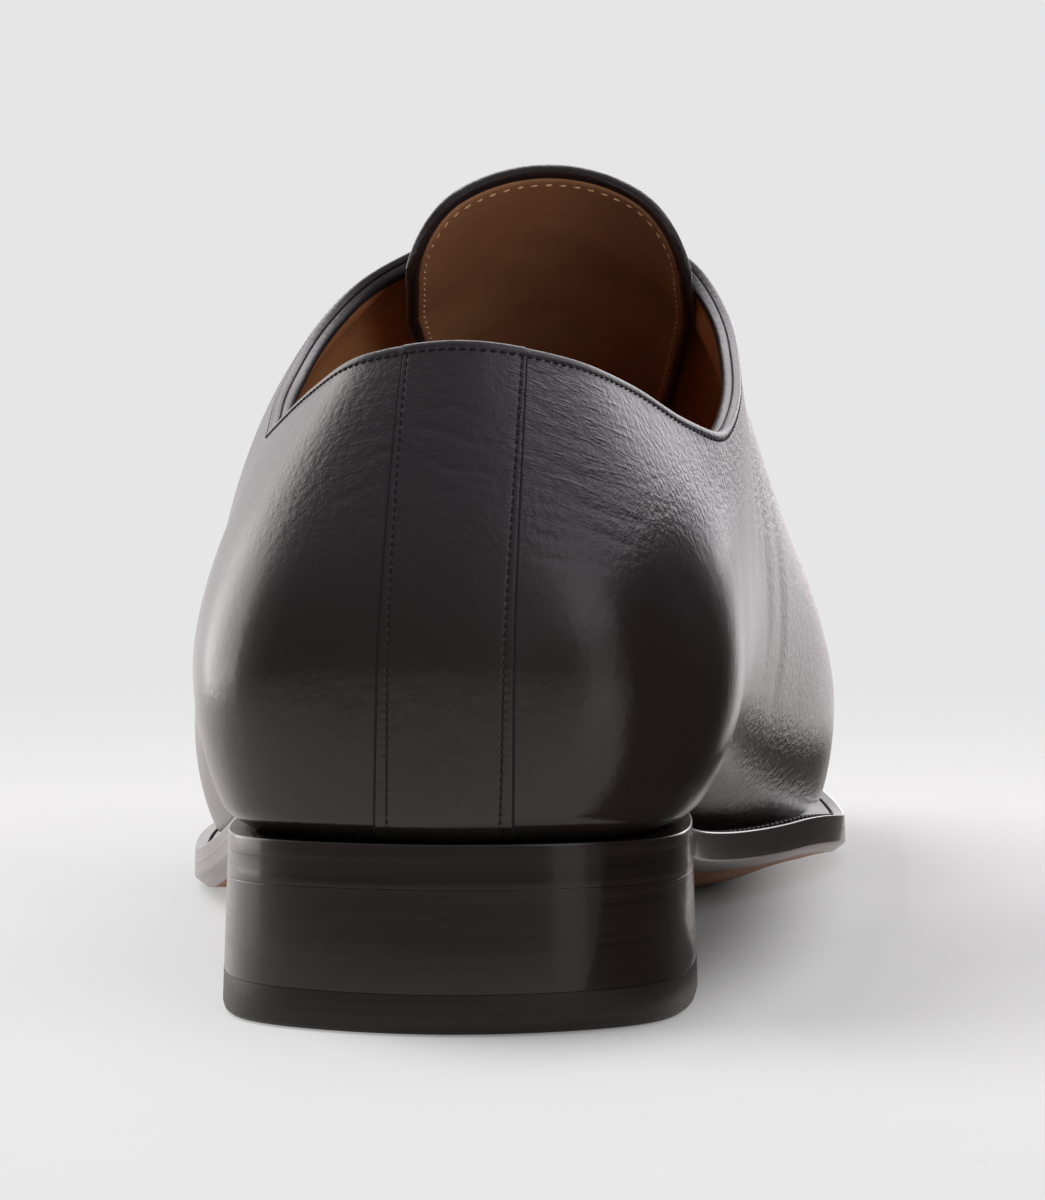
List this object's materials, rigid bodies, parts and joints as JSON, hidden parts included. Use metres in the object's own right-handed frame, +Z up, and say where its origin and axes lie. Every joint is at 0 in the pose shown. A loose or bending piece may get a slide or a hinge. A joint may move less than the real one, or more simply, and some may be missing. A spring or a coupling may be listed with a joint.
{
  "type": "oxford shoe",
  "caption": "Black leather oxford shoe for the left foot: one-piece upper with closed lacing and a back strap, tan lining, thin leather sole and stacked heel.",
  "frame": {"origin": "on the floor, under the middle of the shoe's box", "axes": "+Z up, +Y from heel to toe, +X towards the inner (big-toe) side of a left shoe"},
  "size_m": [0.0992, 0.3016, 0.1093],
  "materials": {
    "black_calf": "polished smooth black calf",
    "tan_lining": "matt tan lining leather",
    "sole_leather": "brown sole leather with a dressed black edge",
    "edge_leather": "dressed and waxed black-brown leather edge",
    "top_rubber": "dull black rubber",
    "lace_cotton": "waxed black cotton cord"
  },
  "bodies": {
    "root": {"outsole": "sole_leather", "welt": "edge_leather", "heel_stack": "edge_leather", "heel_top_piece": "top_rubber", "insole": "tan_lining", "upper": "black_calf", "tongue": "black_calf", "lace_bar_1": "lace_cotton", "lace_bar_2": "lace_cotton", "lace_bar_3": "lace_cotton", "lace_bar_4": "lace_cotton", "lace_bar_5": "lace_cotton"}
  },
  "joints": []
}
